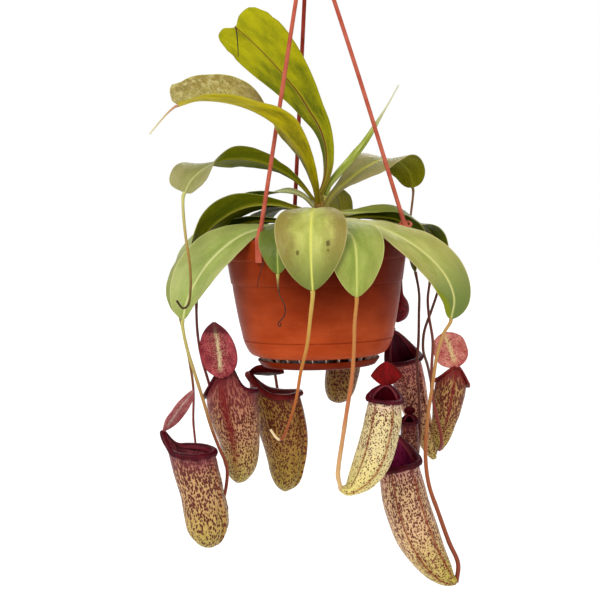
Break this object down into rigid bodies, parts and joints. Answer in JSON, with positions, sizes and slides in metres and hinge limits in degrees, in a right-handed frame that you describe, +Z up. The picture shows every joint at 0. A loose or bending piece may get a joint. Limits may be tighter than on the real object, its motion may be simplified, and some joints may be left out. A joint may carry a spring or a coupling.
{
  "type": "hanging potted pitcher plant",
  "caption": "Tropical pitcher plant with arching leaves and hanging spotted pitchers, in a round plastic pot with saucer on a three-strand hanger.",
  "frame": {"origin": "point inside the top of the hook, where it rests on its rail", "axes": "+Z up along the hanger, -Y towards the front of the plant, +X to the right seen from the front"},
  "size_m": [0.2357, 0.2086, 0.5557],
  "materials": {
    "hanger_plastic": "coral red moulded plastic, satin sheen",
    "pot_plastic": "terracotta coloured plastic, satin",
    "growing_medium": "bark chips with fibre and moss",
    "stem": "reddish tan plant stem",
    "leaf": "smooth waxy leaf, grey green above and olive below",
    "young_leaf": "thin yellow green young leaf",
    "tendril": "smooth orange to red-brown tendril",
    "pitcher_wall": "yellow green with maroon spots and streaks, waxy",
    "pitcher_collar": "glossy ribbed maroon collar, speckled lid"
  },
  "bodies": {
    "root": {"hook": "hanger_plastic", "strand_left": "hanger_plastic", "strand_right": "hanger_plastic", "strand_back": "hanger_plastic", "pot": "pot_plastic", "saucer": "pot_plastic", "soil": "growing_medium", "stem": "stem", "leaf_01": "young_leaf", "leaf_02": "young_leaf", "leaf_03": "leaf", "leaf_04": "young_leaf", "leaf_05": "leaf", "leaf_06": "leaf", "leaf_07": "leaf", "leaf_08": "leaf", "leaf_10": "leaf", "leaf_11": "leaf", "leaf_12": "leaf", "leaf_13": "leaf", "leaf_14": "leaf", "leaf_15": "leaf", "leaf_17": "leaf", "leaf_18": "leaf", "leaf_19": "leaf", "leaf_20": "leaf", "tendril_02": "tendril", "tendril_03": "tendril", "tendril_11": "tendril", "tendril_12": "tendril", "tendril_10": "tendril", "tendril_08": "tendril", "tendril_18": "tendril", "tendril_19": "tendril", "tendril_06": "tendril", "tendril_13": "tendril", "tendril_15": "tendril", "tendril_14": "tendril", "tendril_17": "tendril", "tendril_20": "tendril", "tendril_05": "tendril", "pitcher_1_cup": "pitcher_wall", "pitcher_1_lid": "pitcher_collar", "pitcher_2_cup": "pitcher_wall", "pitcher_2_lid": "pitcher_collar", "pitcher_3_cup": "pitcher_wall", "pitcher_3_lid": "pitcher_collar", "pitcher_4_cup": "pitcher_wall", "pitcher_4_lid": "pitcher_collar", "pitcher_5_cup": "pitcher_wall", "pitcher_5_lid": "pitcher_collar", "pitcher_6_cup": "pitcher_wall", "pitcher_6_lid": "pitcher_collar", "pitcher_7_cup": "pitcher_wall", "pitcher_7_lid": "pitcher_collar", "pitcher_8_cup": "pitcher_wall", "pitcher_8_lid": "pitcher_collar", "pitcher_9_cup": "pitcher_wall", "pitcher_9_lid": "pitcher_collar", "bud": "pitcher_collar"}
  },
  "joints": []
}
